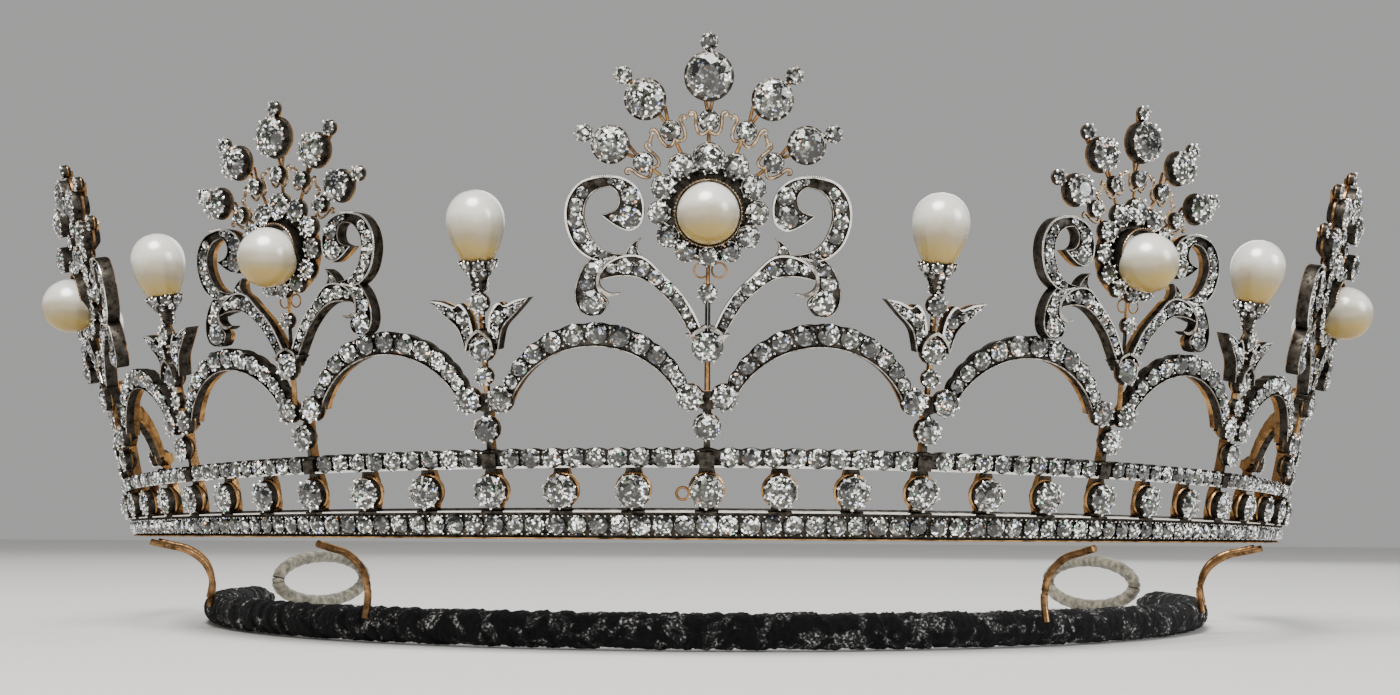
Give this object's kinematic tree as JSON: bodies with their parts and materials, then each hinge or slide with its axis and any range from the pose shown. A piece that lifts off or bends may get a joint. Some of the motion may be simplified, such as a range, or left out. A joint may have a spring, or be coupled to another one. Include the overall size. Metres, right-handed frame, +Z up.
{
  "type": "pearl tiara",
  "caption": "Pearl tiara: a flared stone-set circlet with an arcade of arches, scrolled palmettes round button pearls and drop pearl finials, on a velvet-wound horseshoe frame.",
  "frame": {"origin": "middle of the tiara's outline, on the surface that the velvet frame rests on", "axes": "+Z up, -Y is the front that the centre palmette faces, +X is to the right of someone who looks at the front"},
  "size_m": [0.1932, 0.1408, 0.0655],
  "materials": {
    "silver": "old silver on gold, oxidised dark in its recesses",
    "gold": "polished yellow gold wire",
    "diamond": "old-cut diamond, polished facets",
    "pearl": "natural pearl, cream with a soft deep lustre",
    "velvet": "black velvet ribbon wound on a wire core",
    "silk": "cream silk ribbon bound round a wire"
  },
  "bodies": {
    "root": {"button_pearl_centre": "pearl", "button_pearl_left_2": "pearl", "button_pearl_left_4": "pearl", "button_pearl_right_2": "pearl", "button_pearl_right_4": "pearl", "circlet": "silver", "drop_pearl_left_1": "pearl", "drop_pearl_left_3": "pearl", "drop_pearl_left_5": "pearl", "drop_pearl_right_1": "pearl", "drop_pearl_right_3": "pearl", "drop_pearl_right_5": "pearl", "end_loop_left": "silk", "end_loop_right": "silk", "finial_left_1": "silver", "finial_left_3": "silver", "finial_left_5": "silver", "finial_right_1": "silver", "finial_right_3": "silver", "finial_right_5": "silver", "palmette_centre": "silver", "palmette_left_2": "silver", "palmette_left_4": "silver", "palmette_right_2": "silver", "palmette_right_4": "silver", "stone_centre_lower_left": "diamond", "stone_centre_lower_right": "diamond", "stone_centre_top": "diamond", "stone_centre_upper_left": "diamond", "stone_centre_upper_right": "diamond", "stone_left_2_lower_left": "diamond", "stone_left_2_lower_right": "diamond", "stone_left_2_top": "diamond", "stone_left_2_upper_left": "diamond", "stone_left_2_upper_right": "diamond", "stone_left_4_lower_left": "diamond", "stone_left_4_lower_right": "diamond", "stone_left_4_top": "diamond", "stone_left_4_upper_left": "diamond", "stone_left_4_upper_right": "diamond", "stone_right_2_lower_left": "diamond", "stone_right_2_lower_right": "diamond", "stone_right_2_top": "diamond", "stone_right_2_upper_left": "diamond", "stone_right_2_upper_right": "diamond", "stone_right_4_lower_left": "diamond", "stone_right_4_lower_right": "diamond", "stone_right_4_top": "diamond", "stone_right_4_upper_left": "diamond", "stone_right_4_upper_right": "diamond", "velvet_frame": "velvet", "wire_hook_left_back": "gold", "wire_hook_left_front": "gold", "wire_hook_left_side": "gold", "wire_hook_right_back": "gold", "wire_hook_right_front": "gold", "wire_hook_right_side": "gold"}
  },
  "joints": []
}
